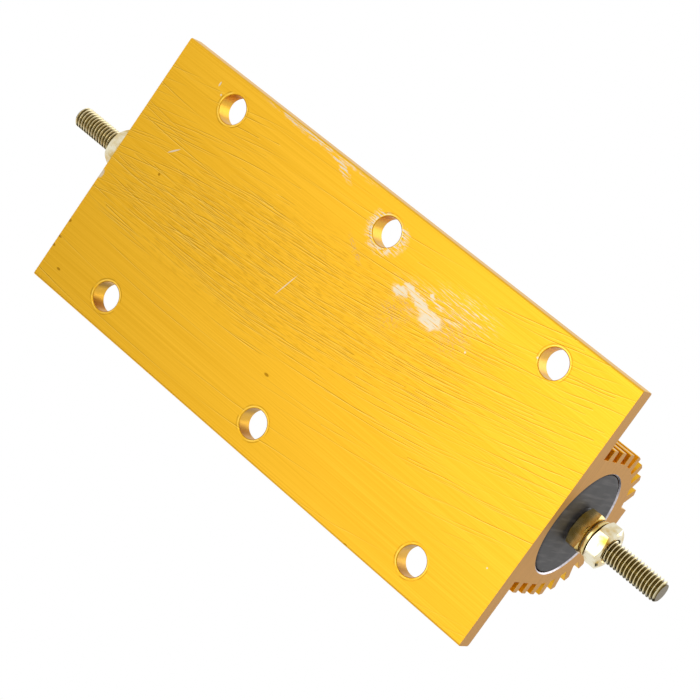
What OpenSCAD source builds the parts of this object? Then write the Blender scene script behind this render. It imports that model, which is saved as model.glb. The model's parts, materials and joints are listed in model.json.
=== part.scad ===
// Aluminium housed power resistor with six mounting holes and threaded stud terminals.
// X runs along the terminals, Z is up from the mounting face, the origin is its centre.

/* [Housing] */
// Length of the extruded housing
body_l = 151; // [100:1:220]
// Width across the mounting flanges
body_w = 72.5; // [68:0.5:100]
// Height of the housing above the mounting face
body_h = 40; // [39.5:0.1:41]
// Thickness of the mounting plate
plate_t = 5.4; // [4:0.1:6.5]
// Radius on the four long edges of the plate
plate_edge_r = 0.6; // [0.2:0.1:1.2]
// Diameter of the bore that holds the resistance element
bore_d = 28.6; // [26:0.1:30]
// Height of the bore axis above the mounting face
bore_z = 17.8; // [17:0.1:19]
// Width of the chamfer at each mouth of the bore
bore_chamfer = 0.35; // [0.1:0.05:0.8]

/* [Fins] */
// Half width of the barrel at the roots of the straight fins
barrel_r = 17.5; // [16.8:0.1:18.5]
// Height of the centre of the barrel's round top
arch_z = 20; // [19.5:0.1:21]
// Radius of the round top at the roots of the radial fins
arch_root_r = 17.2; // [16.6:0.1:17.6]
// How far each straight fin stands out from the barrel
fin_reach = 2.9; // [2:0.1:4]
// Thickness of a fin at its root
fin_root_t = 2.5; // [1.9:0.1:3]
// Thickness of a straight fin at its tip
fin_tip_t = 2.3; // [1:0.1:2.4]
// Radius on the corners of a fin's tip
fin_tip_r = 0.3; // [0.1:0.05:0.4]
// Distance between the straight fins on each flank
fin_pitch = 5.4; // [4.8:0.1:5.8]
// Number of straight fins on each flank
flank_fins = 3; // [1:1:3]
// How far each radial fin stands out from the round top
arch_reach = 3.7; // [2:0.1:4.5]
// Thickness of a radial fin at its tip
arch_tip_t = 1.9; // [1:0.1:2.4]
// Number of radial fins on each side of the round top
arch_fins = 4; // [1:1:4]
// Angle of the lowest radial fin above the horizontal
arch_start = 15; // [13:0.2:18]
// Angle between radial fins
arch_step = 14.3; // [12.5:0.1:15]
// Width of the flat panel along the top
panel_w = 12; // [8:0.1:13]
// Angle that the sides of the panel lean inwards
panel_lean = 5.5; // [0:0.5:8]

/* [Mounting holes] */
// Diameter of a mounting hole
hole_d = 7.6; // [4:0.1:9]
// Distance between neighbouring holes along the housing
hole_pitch = 54; // [30:0.5:70]
// Distance between the two rows of holes
row_pitch = 56.8; // [56:0.1:60]
// Width of the chamfer round a mounting hole
hole_chamfer = 0.2; // [0.05:0.05:0.4]

/* [Terminals] */
// Diameter of the terminal studs
stud_d = 6; // [4:0.5:7]
// Length of stud beyond the end of the housing
stud_out = 25.8; // [15:0.1:35]
// Depth of the thread on a stud
thread_depth = 0.6; // [0.3:0.05:0.8]
// Chamfer at the tip of a stud
stud_chamfer = 0.6; // [0.2:0.1:1]
// Thickness of the shoulder between a stud and its cap
shoulder_t = 2; // [1:0.1:4]
// Diameter of the shoulder between a stud and its cap
shoulder_d = 10; // [8:0.1:14]
// Step down from a stud to the spigot that is riveted into its cap
spigot_step = 0.5; // [0.2:0.1:1]
// Thickness of an end seal
seal_t = 6; // [3:0.1:9]
// Radius round the rim of an end seal
seal_edge_r = 0.5; // [0.2:0.1:1]
// Height of the boss that the inner nut bears on
seal_boss_h = 0.3; // [0.1:0.1:2]
// Diameter of that boss
seal_boss_d = 8.8; // [8:0.1:9.6]

/* [Nuts and washers] */
// Width of a nut across its flats
nut_af = 10; // [9.6:0.1:12]
// Thickness of the inner nut
inner_nut_t = 4.2; // [2.5:0.1:6]
// Thickness of the outer nut
outer_nut_t = 4.3; // [2.5:0.1:6]
// Outer diameter of the spring washer
washer_d = 9.8; // [9:0.1:12]
// Thickness of the spring washer
washer_t = 1.3; // [0.8:0.1:2.5]
// Width of the cut through the spring washer
washer_split = 0.8; // [0.3:0.1:1.5]
// Slant of that cut
washer_slant = 20; // [0:1:30]
// Angle of the inner nuts about their stud
inner_nut_turn = 16; // [0:1:59]
// Angle of the outer nuts about their stud
outer_nut_turn = 58; // [0:1:59]
// Distance that the left outer nut stands off its washer
left_nut_slack = 1.3; // [0:0.1:3]

/* [Resistance element] */
// Diameter of the ceramic core
core_d = 16; // [13:0.1:18]
// Diameter of the hole along the ceramic core
core_hole_d = 8; // [7:0.1:10]
// Distance from the end of the core to the end of the housing
core_inset = 14.5; // [13:0.1:25]
// Diameter of the resistance wire
wire_d = 1; // [0.6:0.1:1.4]
// Distance between turns of the winding
turn_pitch = 2.8; // [1.8:0.1:4]
// Thickness of an end cap's wall and floor
cap_t = 1.2; // [0.8:0.1:1.8]
// Length of the core that an end cap covers
cap_grip = 7; // [4:0.5:12]
// Distance between the winding and an end cap
cap_to_winding = 0.4; // [0.2:0.1:2]

/* [Hidden] */
// Clearance between pieces that fit into each other
fit_gap = 0.05;
// Angle of a nut's chamfer against its end face
nut_chamfer_a = 30;
// Diameter of the flat ring at a nut's end face as a share of its width across flats
nut_face_share = 0.89;
// How far a nut's chamfer cone runs past its corners
nut_past = 0.4;
// Share of the wire diameter that stands out as a ridge
turn_ridge_share = 0.5;
// Extra length that makes a cut run through
cut = 1;
// Facets round a large circle and round a small edge
$fn = 96;
small_fn = 32;

body_end = body_l / 2;
bore_r = bore_d / 2;
hole_r = hole_d / 2;
core_end = body_end - core_inset;
core_r = core_d / 2;
thread_mean_r = (stud_d - thread_depth) / 2;
spigot_r = stud_d / 2 - spigot_step;
winding_end = core_end - cap_grip - cap_to_winding;
turns = floor(2 * winding_end / turn_pitch);
cap_end = core_end + cap_t;
cap_r = core_r + fit_gap + cap_t;
shoulder_end = cap_end + shoulder_t;
seal_in = body_end - seal_t;
boss_end = body_end + seal_boss_h;
washer_in = boss_end + inner_nut_t;
washer_out = washer_in + washer_t;
stud_end = body_end + stud_out;

// Where an outer nut starts: the left one stands off its washer
function outer_nut_from(side) = washer_out + (side < 0 ? left_nut_slack : 0);

// Children drawn flat in Y and Z become a bar along X, between two places
module along_x(from, to) {
    translate([from, 0, 0]) rotate([90, 0, 90]) linear_extrude(to - from) children();
}

// A piece turned about the bore axis, from points given as [radius, x]
module turned(outline) {
    translate([0, 0, bore_z]) rotate([0, 90, 0]) rotate_extrude() polygon(outline);
}

// A round bar along the bore axis
module bar(r, from, to) {
    translate([from, 0, bore_z]) rotate([0, 90, 0]) cylinder(r = r, h = to - from);
}

// The same piece at the left end, or as drawn at the right end
module at_end(side) {
    if (side < 0) mirror([1, 0, 0]) children();
    else children();
}

// --- Housing ---

module plate_section() {
    inner_w = body_w - 2 * plate_edge_r;
    translate([-inner_w / 2, 0]) square([inner_w, plate_t]);
    translate([-body_w / 2, plate_edge_r]) square([body_w, plate_t - 2 * plate_edge_r]);
    for (y = [-inner_w / 2, inner_w / 2], z = [plate_edge_r, plate_t - plate_edge_r])
        translate([y, z]) circle(plate_edge_r, $fn = small_fn);
}

// One fin, from its root outwards: flat underneath, sloped above, its tip rounded
module fin_section(root_r, reach, tip_t) {
    tip_in = root_r + reach - fin_tip_r;
    polygon([[root_r - fin_root_t, 0], [tip_in, 0], [tip_in, tip_t],
        [root_r, fin_root_t], [root_r - fin_root_t, fin_root_t]]);
    translate([tip_in, fin_tip_r]) square([fin_tip_r, tip_t - 2 * fin_tip_r]);
    for (z = [fin_tip_r, tip_t - fin_tip_r])
        translate([tip_in, z]) circle(fin_tip_r, $fn = small_fn);
}

module fins_on_one_side() {
    for (i = [1:flank_fins])
        translate([0, plate_t + i * fin_pitch - fin_root_t])
            fin_section(barrel_r, fin_reach, fin_tip_t);
    for (i = [0:arch_fins - 1])
        translate([0, arch_z]) rotate(arch_start + i * arch_step)
            translate([0, -arch_tip_t / 2]) fin_section(arch_root_r, arch_reach, arch_tip_t);
}

module barrel_section() {
    foot = panel_w / 2 + (body_h - arch_z) * tan(panel_lean);
    translate([-barrel_r, 0]) square([2 * barrel_r, arch_z]);
    translate([0, arch_z]) circle(arch_root_r);
    polygon([[-foot, arch_z], [foot, arch_z], [panel_w / 2, body_h], [-panel_w / 2, body_h]]);
}

module housing_section() {
    plate_section();
    barrel_section();
    fins_on_one_side();
    mirror([1, 0]) fins_on_one_side();
}

// Cutter for a hole through the plate, with a chamfer at both faces
module mounting_hole() {
    flare = hole_r + hole_chamfer + cut;
    translate([0, 0, -cut]) cylinder(r = hole_r, h = plate_t + 2 * cut);
    for (z = [0, plate_t], flip = [z == 0 ? 0 : 1])
        translate([0, 0, z]) mirror([0, 0, flip]) translate([0, 0, -cut])
            cylinder(r1 = flare, r2 = hole_r, h = hole_chamfer + cut);
}

module bore_cutter() {
    mouth_r = bore_r + bore_chamfer;
    mouth = body_end - bore_chamfer;
    turned([[0, -body_end - cut], [mouth_r, -body_end - cut], [mouth_r, -body_end],
        [bore_r, -mouth], [bore_r, mouth], [mouth_r, body_end],
        [mouth_r, body_end + cut], [0, body_end + cut]]);
}

module housing() {
    color("goldenrod") difference() {
        along_x(-body_end, body_end) housing_section();
        bore_cutter();
        for (i = [-1:1], row = [-1, 1])
            translate([i * hole_pitch, row * row_pitch / 2, 0]) mounting_hole();
    }
}

// --- Resistance element ---

module ceramic_core() {
    color("whitesmoke") difference() {
        bar(core_r, -core_end, core_end);
        bar(core_hole_d / 2, -core_end - cut, core_end + cut);
    }
}

// A single layer of wire laid in cement: a ridge for each turn on the core
module resistance_winding() {
    low = core_r + fit_gap;
    valley = low + wire_d * (1 - turn_ridge_share);
    half = turns * turn_pitch / 2;
    ridges = [for (i = [0:turns - 1], p = [
        [valley, -half + i * turn_pitch],
        [low + wire_d, -half + (i + 0.5) * turn_pitch]]) p];
    color("dimgray") turned(concat([[low, -half]], ridges, [[valley, half], [low, half]]));
}

module end_cap(side) {
    grip_r = core_r + fit_gap;
    color("silver") at_end(side) turned([[grip_r, core_end - cap_grip], [cap_r, core_end - cap_grip],
        [cap_r, cap_end], [spigot_r + fit_gap, cap_end], [spigot_r + fit_gap, core_end + fit_gap],
        [grip_r, core_end + fit_gap]]);
}

// Cement round the element, cast between the two seals
module cement_filling() {
    room_r = cap_r + fit_gap;
    room_end = cap_end + fit_gap;
    color("tan") difference() {
        bar(bore_r - fit_gap, -seal_in, seal_in);
        bar(room_r, -room_end, room_end);
        bar(shoulder_d / 2 + fit_gap, -shoulder_end - fit_gap, shoulder_end + fit_gap);
        bar(stud_d / 2 + fit_gap, -seal_in - cut, seal_in + cut);
    }
}

// --- Terminals ---

// Where a nut is screwed on, it and the stud meet half way down the thread
module nut_seat(from, t) {
    difference() {
        bar(stud_d, from, from + t);
        bar(thread_mean_r, from - cut, from + t + cut);
    }
}

module terminal_stud(side) {
    r = stud_d / 2;
    spigot_in = core_end - cap_t;
    color("darkkhaki") at_end(side) difference() {
        turned([[0, spigot_in], [spigot_r, spigot_in], [spigot_r, cap_end],
            [shoulder_d / 2, cap_end], [shoulder_d / 2, shoulder_end], [r, shoulder_end],
            [r, stud_end - stud_chamfer], [r - stud_chamfer, stud_end], [0, stud_end]]);
        nut_seat(boss_end, inner_nut_t);
        nut_seat(outer_nut_from(side), outer_nut_t);
    }
}

module end_seal(side) {
    r = bore_r - fit_gap;
    color("dimgray") at_end(side) difference() {
        union() {
            bar(r, seal_in, body_end - seal_edge_r);
            bar(r - seal_edge_r, seal_in, body_end);
            translate([body_end - seal_edge_r, 0, bore_z]) rotate([0, 90, 0])
                rotate_extrude() translate([r - seal_edge_r, 0]) circle(seal_edge_r, $fn = small_fn);
            bar(seal_boss_d / 2, seal_in, boss_end);
        }
        bar(stud_d / 2 + fit_gap, seal_in - cut, boss_end + cut);
    }
}

// A hexagon nut between two places along the stud, chamfered on both faces
module hex_nut(from, t, turn) {
    corner_r = nut_af / 2 / cos(30);
    face_r = nut_af / 2 * nut_face_share;
    past_r = corner_r + nut_past;
    drop = (past_r - face_r) * tan(nut_chamfer_a);
    difference() {
        intersection() {
            translate([0, 0, bore_z]) along_x(from, from + t)
                rotate(turn) circle(corner_r, $fn = 6);
            turned([[0, from], [face_r, from], [past_r, from + drop],
                [past_r, from + t - drop], [face_r, from + t], [0, from + t]]);
        }
        bar(thread_mean_r + fit_gap, from - cut, from + t + cut);
    }
}

module inner_nut(side) {
    color("darkkhaki") at_end(side) hex_nut(boss_end, inner_nut_t, inner_nut_turn);
}

module outer_nut(side) {
    color("palegoldenrod") at_end(side)
        hex_nut(outer_nut_from(side), outer_nut_t, outer_nut_turn);
}

// A split ring whose ends are cut at a slant
module spring_washer(side) {
    color("darkkhaki") at_end(side) difference() {
        bar(washer_d / 2, washer_in, washer_out);
        bar(stud_d / 2 + fit_gap, washer_in - cut, washer_out + cut);
        translate([(washer_in + washer_out) / 2, 0, bore_z + washer_d / 2])
            rotate([0, 0, washer_slant])
                cube([2 * washer_t + cut, washer_split, washer_d], center = true);
    }
}

housing();
ceramic_core();
resistance_winding();
cement_filling();
end_cap(-1);  // end_cap_left
end_cap(1);  // end_cap_right
terminal_stud(-1);  // terminal_stud_left
terminal_stud(1);  // terminal_stud_right
end_seal(-1);  // end_seal_left
end_seal(1);  // end_seal_right
inner_nut(-1);  // inner_nut_left
inner_nut(1);  // inner_nut_right
spring_washer(-1);  // spring_washer_left
spring_washer(1);  // spring_washer_right
outer_nut(-1);  // outer_nut_left
outer_nut(1);  // outer_nut_right
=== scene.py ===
"""Looks of an aluminium housed power resistor: finishes, threads, edges, wear and the stage."""

import json
import math

import bmesh
import bpy
from bpy.props import FloatProperty, FloatVectorProperty, IntProperty, PointerProperty
from mathutils import Matrix, Vector, noise


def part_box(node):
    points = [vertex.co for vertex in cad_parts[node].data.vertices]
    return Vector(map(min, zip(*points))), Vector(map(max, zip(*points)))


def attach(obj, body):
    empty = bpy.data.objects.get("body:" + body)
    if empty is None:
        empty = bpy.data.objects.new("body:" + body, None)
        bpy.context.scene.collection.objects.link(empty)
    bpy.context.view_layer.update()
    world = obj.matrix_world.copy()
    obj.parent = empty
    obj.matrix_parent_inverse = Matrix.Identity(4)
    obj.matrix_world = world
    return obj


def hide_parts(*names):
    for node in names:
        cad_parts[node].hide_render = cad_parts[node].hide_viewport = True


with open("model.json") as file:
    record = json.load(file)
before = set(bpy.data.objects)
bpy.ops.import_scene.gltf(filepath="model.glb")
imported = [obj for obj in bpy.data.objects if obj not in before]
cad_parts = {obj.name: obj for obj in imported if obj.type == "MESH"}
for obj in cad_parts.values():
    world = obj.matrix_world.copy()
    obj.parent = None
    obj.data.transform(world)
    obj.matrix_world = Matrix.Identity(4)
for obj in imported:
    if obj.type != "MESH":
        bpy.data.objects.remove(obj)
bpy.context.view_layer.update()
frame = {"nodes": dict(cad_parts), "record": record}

bl_info = {
    "name": "Housed power resistor",
    "version": (1, 0, 0),
    "blender": (4, 5, 0),
    "location": "3D View > Sidebar > Resistor",
    "description": "Finishes a finned aluminium power resistor with stud terminals",
    "category": "Object",
}

MM = 0.001
SIDES = ("left", "right")
MATH = "ShaderNodeMath"
VECTOR = "ShaderNodeVectorMath"
RANGE = "ShaderNodeMapRange"
NOISE = "ShaderNodeTexNoise"
MIX = "ShaderNodeMix"
COMBINE = "ShaderNodeCombineXYZ"
TRANSFORM = "GeometryNodeTransform"


def linear(hex_colour):
    """An sRGB hex colour as linear red, green and blue."""
    parts = [int(hex_colour[i:i + 2], 16) / 255 for i in (1, 3, 5)]
    return [c / 12.92 if c <= 0.04045 else ((c + 0.055) / 1.055) ** 2.4 for c in parts]


def colour_prop(name, description, hex_colour):
    return FloatVectorProperty(name=name, description=description, subtype="COLOR", size=3,
                               min=0, max=1, default=linear(hex_colour))


def length_prop(name, description, millimetres):
    return FloatProperty(name=name, description=description, unit="LENGTH", min=0,
                         default=millimetres * MM)


# --- Sizes read from the frame ---

MOUNTS = {m["name"]: m for m in frame["record"]["mounts"]}
SEAL_LOW, SEAL_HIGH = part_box("end_seal_right")
BODY_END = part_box("housing")[1].x
BORE_Z = (SEAL_LOW.z + SEAL_HIGH.z) / 2
SEAL_R = SEAL_HIGH.y
BORE_R = SEAL_R + 0.05 * MM
STUD_R = MOUNTS["terminal_right"]["dims"]["r_mm"] * MM
HOLE_PITCH = MOUNTS["corner_holes"]["dims"]["spacing_x_mm"] * MM / 2
HOLE_ROW = MOUNTS["corner_holes"]["dims"]["spacing_y_mm"] * MM / 2


def from_axis(point):
    """Distance of a point from the axis of the bore."""
    return math.hypot(point.y, point.z - BORE_Z)


def nut_sizes(node):
    """A nut's corner radius, its corner's angle and the radius of its flat end face."""
    points = [v.co for v in frame["nodes"][node].data.vertices]
    far = max(points, key=from_axis)
    end = max(p.x for p in points)
    face_r = max(from_axis(p) for p in points if end - p.x < 0.001 * MM)
    return from_axis(far), math.atan2(far.z - BORE_Z, far.y), face_r


# --- Settings ---

class HousingLook(bpy.types.PropertyGroup):
    """Finish and wear of the housing"""
    gold: colour_prop("Gold", "Anodised gold of the extruded faces", "#E8B330")
    gold_deep: colour_prop("Deep gold", "Gold between the drawing lines", "#DBA423")
    # Dark gold of the scratches; the same colour is painted as shade in a ring round each mounting
    # hole
    scratch_and_rim_shade: colour_prop("Scratch", "Gold in the bottom of a scratch", "#96650C")
    # Painted highlight: a bright gold along one side of the scratches and on the raised edges of the
    # holes, standing in for light caught there
    burr_highlight: colour_prop("Burr", "Gold along the raised edge of a scratch", "#F7D263")
    bare: colour_prop("Bare metal", "Aluminium where the film is rubbed off", "#CFC6B2")
    smear: colour_prop("Smear", "Dull smears beside the rubbed patch", "#B4906C")
    sawn: colour_prop("Sawn gold", "Duller gold of the sawn ends", "#C9964F")
    turned: colour_prop("Turned metal", "Aluminium of the turned edge of the bore", "#D9D4DA")
    edge_round: length_prop("Edge rounding", "Width of the broken edges", 0.14)
    line_width: length_prop("Drawing line", "Width of the lines left by the die", 0.35)
    line_length: length_prop("Line length", "Length of the lines left by the die", 90)
    scratch_width: length_prop("Scratch width", "Width of the fine scratches", 0.2)
    scratch_length: length_prop("Scratch length", "Length of the fine scratches", 24)
    relief: length_prop("Relief", "Depth of the scratches and the lines", 0.02)


class HardwareLook(bpy.types.PropertyGroup):
    """Thread, nuts and washers"""
    yellow_zinc: colour_prop("Yellow zinc", "Yellow passivated zinc plate", "#D9C486")
    pale_zinc: colour_prop("Pale zinc", "Palest part of the passivated zinc", "#E6DFC4")
    zinc_tint: colour_prop("Zinc tint", "Stronger yellow of the film in its thick places", "#C9A545")
    pitch: length_prop("Pitch", "Distance between turns of the thread", 1.0)
    depth: length_prop("Thread depth", "Depth of the thread", 0.58)
    tip_chamfer: length_prop("Tip chamfer", "Chamfer at the end of a stud", 0.6)
    shoulder: length_prop("Shoulder", "Thickness of the stud's shoulder on its cap", 2.0)
    # Painted shade: a dark colour in the roots of the thread, standing in for the shade that falls
    # there
    thread_shade: colour_prop("Thread shade", "Stained zinc in the roots of the thread", "#5A4A1C")
    thread_gap: length_prop("Thread gap", "Gap between the crests and the nut", 0.05)
    nut_round: length_prop("Nut rounding", "Width of the rounded edges of a nut", 0.12)
    turn_steps: IntProperty(name="Steps", description="Steps in a turn of thread", default=12,
                            min=6)
    around: IntProperty(name="Sides", description="Sides round a stud", default=48, min=16)


class SealLook(bpy.types.PropertyGroup):
    """Sealing compound at both ends"""
    compound: colour_prop("Compound", "Dark grey sealing compound", "#353334")
    marks: colour_prop("Marks", "Lighter marks on the compound", "#5A5757")
    rim_gap: length_prop("Rim gap", "Widest gap between the compound and the bore", 0.55)
    boss_r: length_prop("Boss radius", "Radius of the boss under the nut", 4.4)
    unevenness: length_prop("Unevenness", "Height of the compound's waves", 0.12)


class ElementLook(bpy.types.PropertyGroup):
    """Resistance element inside the housing"""
    ceramic: colour_prop("Ceramic", "White ceramic of the core", "#EFEBE1")
    wire: colour_prop("Wire", "Drawn resistance wire", "#8A8378")
    cement: colour_prop("Cement", "Sandy cement round the element", "#B9AD95")
    cap: colour_prop("Cap", "Pressed steel of the end caps", "#A9A9A6")
    wire_d: length_prop("Wire diameter", "Diameter of the resistance wire", 0.9)
    wire_pitch: length_prop("Wire pitch", "Distance between turns of the winding", 2.8)
    turn_points: IntProperty(name="Turn points", description="Points in a turn of wire",
                             default=24, min=8)
    ceramic_shade: colour_prop("Ceramic shade", "Darker grain of the ceramic", "#D8D2C4")
    cement_shade: colour_prop("Cement shade", "Darker grains of the cement", "#8E8268")
    wire_shade: colour_prop("Wire shade", "Darker tone of the wire", "#6E685F")
    cap_shade: colour_prop("Cap shade", "Darker tone of the caps", "#8C8C89")


class StageLook(bpy.types.PropertyGroup):
    """Floor, lamps and camera"""
    floor: colour_prop("Floor", "Pale floor", "#F4F4F2")
    azimuth: FloatProperty(name="Azimuth", description="Direction of the camera",
                           subtype="ANGLE", default=math.radians(68.39))
    elevation: FloatProperty(name="Elevation", description="Height of the camera",
                             subtype="ANGLE", default=math.radians(-62.93))
    roll: FloatProperty(name="Roll", description="Turn of the camera about its own line",
                        subtype="ANGLE", default=math.radians(105.62))
    distance: length_prop("Distance", "Distance of the camera from its aim", 591.4)
    lens: FloatProperty(name="Lens", description="Focal length", subtype="DISTANCE_CAMERA",
                        default=127.2)
    aim: FloatVectorProperty(name="Aim", description="Point that the camera looks at",
                             subtype="XYZ", unit="LENGTH", size=3,
                             default=(8.1 * MM, 0.0, 3.9 * MM))


GROUPS = {"housing": HousingLook, "hardware": HardwareLook, "seal": SealLook,
          "element": ElementLook, "stage": StageLook}


def look(name):
    """The settings group of that name."""
    return getattr(bpy.context.scene, "resistor_" + name)


# --- Building blocks ---

def plug(tree, node, inputs):
    """Links or sets a node's inputs. An input may be a value, a socket, or a node, which stands
    for its first output in use."""
    for key, value in inputs.items():
        if isinstance(value, bpy.types.Node):
            value = next(out for out in value.outputs if out.enabled)
        if isinstance(value, bpy.types.NodeSocket):
            tree.links.new(value, node.inputs[key])
        else:
            node.inputs[key].default_value = value


def add(tree, kind, inputs=None, **settings):
    """Adds a node, sets its properties, then its inputs."""
    node = tree.nodes.new(kind)
    for name, value in settings.items():
        setattr(node, name, value)
    plug(tree, node, inputs or {})
    return node


def rgba(colour):
    """A colour with full alpha."""
    return (*colour, 1.0)


def new_material(name):
    """A material with a Principled BSDF, its node tree and the Object coordinates."""
    material = bpy.data.materials.new(name)
    material.use_nodes = True
    tree = material.node_tree
    tree.nodes.clear()
    shader = add(tree, "ShaderNodeBsdfPrincipled")
    add(tree, "ShaderNodeOutputMaterial", {"Surface": shader})
    place = add(tree, "ShaderNodeTexCoord").outputs["Object"]
    return material, tree, shader, place


def new_piece(name, mesh, materials):
    """A finished piece that rides on the root body."""
    piece = bpy.data.objects.new(name, mesh)
    bpy.context.scene.collection.objects.link(piece)
    for material in materials:
        mesh.materials.append(material)
    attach(piece, "root")
    return piece


def finish_mesh(bm, name, smooth_below=35):
    """Turns a bmesh into a mesh, smooth apart from its sharp edges. Wide faces keep their own
    normal right up to the rounded edges round them."""
    limit = math.radians(smooth_below)
    for face in bm.faces:
        face.smooth = True
    for edge in bm.edges:
        edge.smooth = edge.is_manifold and edge.calc_face_angle(0) < limit
    mesh = bpy.data.meshes.new(name)
    bm.to_mesh(mesh)
    bm.free()
    holder = bpy.data.objects.new(name, mesh)
    bpy.context.scene.collection.objects.link(holder)
    weighted = holder.modifiers.new("weighted", "WEIGHTED_NORMAL")
    weighted.keep_sharp = True
    graph = bpy.context.evaluated_depsgraph_get()
    finished = bpy.data.meshes.new_from_object(holder.evaluated_get(graph))
    bpy.data.objects.remove(holder)
    return finished


def ring(bm, x, radii, turn=0.0):
    """Vertices round the bore axis at x, one for each radius in turn."""
    step = 2 * math.pi / len(radii)
    return [bm.verts.new((x, r * math.cos(turn + i * step), BORE_Z + r * math.sin(turn + i * step)))
            for i, r in enumerate(radii)]


def skin(bm, rings, closed=False):
    """Faces between rings that follow each other; closed joins the last to the first."""
    pairs = list(zip(rings, rings[1:]))
    if closed:
        pairs.append((rings[-1], rings[0]))
    for low, high in pairs:
        for i in range(len(low)):
            j = (i + 1) % len(low)
            bm.faces.new((low[i], low[j], high[j], high[i]))
    bmesh.ops.recalc_face_normals(bm, faces=bm.faces)


def merged_copy(node):
    """A bmesh of a CAD node's mesh with its loose triangles joined into whole faces."""
    bm = bmesh.new()
    bm.from_mesh(frame["nodes"][node].data)
    bmesh.ops.remove_doubles(bm, verts=bm.verts, dist=0.002 * MM)
    bmesh.ops.dissolve_limit(bm, angle_limit=math.radians(0.6), verts=bm.verts,
                             edges=bm.edges, delimit={"NORMAL"})
    return bm


def break_edges(bm, width, sharper_than=25):
    """Rounds every edge sharper than that angle."""
    limit = math.radians(sharper_than)
    sharp = [e for e in bm.edges if e.is_manifold and e.calc_face_angle(0) > limit]
    bmesh.ops.bevel(bm, geom=sharp, offset=width, offset_type="OFFSET", segments=2, profile=0.5,
                    affect="EDGES", clamp_overlap=True)


# --- Housing ---

def die_lines(tree, place):
    """Fine lines along the extrusion, from the die: a share from 0 to 1."""
    s = look("housing")
    drawn = add(tree, VECTOR, {0: place, 1: (1 / s.line_length, 1 / s.line_width,
                                             1 / s.line_width)}, operation="MULTIPLY")
    fine = add(tree, NOISE, {"Vector": drawn, "Scale": 1.0, "Detail": 2.0, "Roughness": 0.7})
    return add(tree, RANGE, {"Value": fine, "From Min": 0.3, "From Max": 0.7})


def spot(tree, place, centre, radii, soft=0.5, turn=0.0):
    """An ellipse on the mounting face, in millimetres and degrees: 1 inside and 0 outside, with a
    soft share of edge."""
    away = add(tree, "ShaderNodeMapping", {
        "Vector": place, "Location": (centre[0] * MM, centre[1] * MM, 0.0),
        "Rotation": (0.0, 0.0, math.radians(turn)), "Scale": (radii[0] * MM, radii[1] * MM, 1.0)},
        vector_type="TEXTURE")
    far = add(tree, VECTOR, {0: away}, operation="LENGTH")
    return add(tree, RANGE, {"Value": far, "From Min": 1.0 + soft, "From Max": 1.0 - soft},
               interpolation_type="SMOOTHSTEP")


def most_of(tree, masks):
    """The largest of several masks. It takes them one by one as they are made, which keeps
    few values waiting in the shader."""
    top = None
    for mask in masks:
        top = mask if top is None else add(tree, MATH, {0: top, 1: mask}, operation="MAXIMUM")
    return top


def part_of(tree, mask, share):
    """A mask times another one or a number."""
    return add(tree, MATH, {0: mask, 1: share}, operation="MULTIPLY")


def arcs(tree, place, start, slope, bend):
    """Coordinates along and across a family of flat arcs on the mounting face. They fall by that
    slope where x = start and bend down with that radius, or up where it is negative."""
    parts = add(tree, "ShaderNodeSeparateXYZ", {0: place})
    past = add(tree, MATH, {0: parts.outputs[0], 1: start * MM}, operation="SUBTRACT")
    fall = add(tree, MATH, {0: past, 1: 0.5 / bend, 2: slope}, operation="MULTIPLY_ADD")
    across = add(tree, MATH, {0: past, 1: fall, 2: parts.outputs[1]}, operation="MULTIPLY_ADD")
    drift = add(tree, VECTOR, {0: place, 1: (22.0, 260.0, 0.0)}, operation="MULTIPLY")
    drift = add(tree, NOISE, {"Vector": drift, "Scale": 1.0, "Detail": 1.0})
    across = add(tree, MATH, {0: drift, 1: 1.2 * MM, 2: across}, operation="MULTIPLY_ADD")
    return parts.outputs[0], across


def scratches(tree, along, across, length, width, spacing, share, seed):
    """Thin strokes with tapered ends, and a mask along one side of each for a painted highlight,
    standing in for light caught by a raised edge. The face is cut into rows and the rows into cells,
    and a cell holds a stroke where its random number is below the share."""
    row = add(tree, MATH, {0: across, 1: spacing}, operation="DIVIDE")
    row_id = add(tree, MATH, {0: row}, operation="FLOOR")
    in_row = add(tree, MATH, {0: row}, operation="FRACT")
    shift = add(tree, "ShaderNodeTexWhiteNoise", {"W": row_id}, noise_dimensions="1D")
    cell = add(tree, MATH, {0: along, 1: length}, operation="DIVIDE")
    most_cells_shifted = 9.0
    cell = add(tree, MATH, {0: shift.outputs[0], 1: most_cells_shifted, 2: cell},
               operation="MULTIPLY_ADD")
    cell_id = add(tree, MATH, {0: cell}, operation="FLOOR")
    in_cell = add(tree, MATH, {0: cell}, operation="FRACT")
    key = add(tree, COMBINE, {0: row_id, 1: cell_id, 2: seed + 0.5})
    draw = add(tree, "ShaderNodeTexWhiteNoise", {"Vector": key}, noise_dimensions="3D")
    draw = add(tree, "ShaderNodeSeparateColor", {0: draw.outputs["Color"]})
    there = add(tree, MATH, {0: draw.outputs[0], 1: share}, operation="LESS_THAN")
    middle = add(tree, RANGE, {"Value": draw.outputs[1], "To Min": 0.3, "To Max": 0.6})
    off = add(tree, MATH, {0: in_row, 1: middle}, operation="SUBTRACT")
    end = add(tree, MATH, {0: in_cell, 1: 0.5}, operation="SUBTRACT")
    end = add(tree, MATH, {0: end}, operation="ABSOLUTE")
    taper = add(tree, RANGE, {"Value": end, "From Min": 0.5, "From Max": 0.15})
    depth = add(tree, RANGE, {"Value": draw.outputs[2], "To Min": 0.25, "To Max": 1.0})
    held = part_of(tree, part_of(tree, taper, depth), there)
    half = 0.5 * width / spacing
    made = []
    for centre in (0.0, 1.7 * half):
        near = add(tree, MATH, {0: off, 1: centre}, operation="SUBTRACT")
        near = add(tree, MATH, {0: near}, operation="ABSOLUTE")
        near = add(tree, RANGE, {"Value": near, "From Min": half, "From Max": 0.2 * half})
        made.append(part_of(tree, near, held))
    return made


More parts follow.
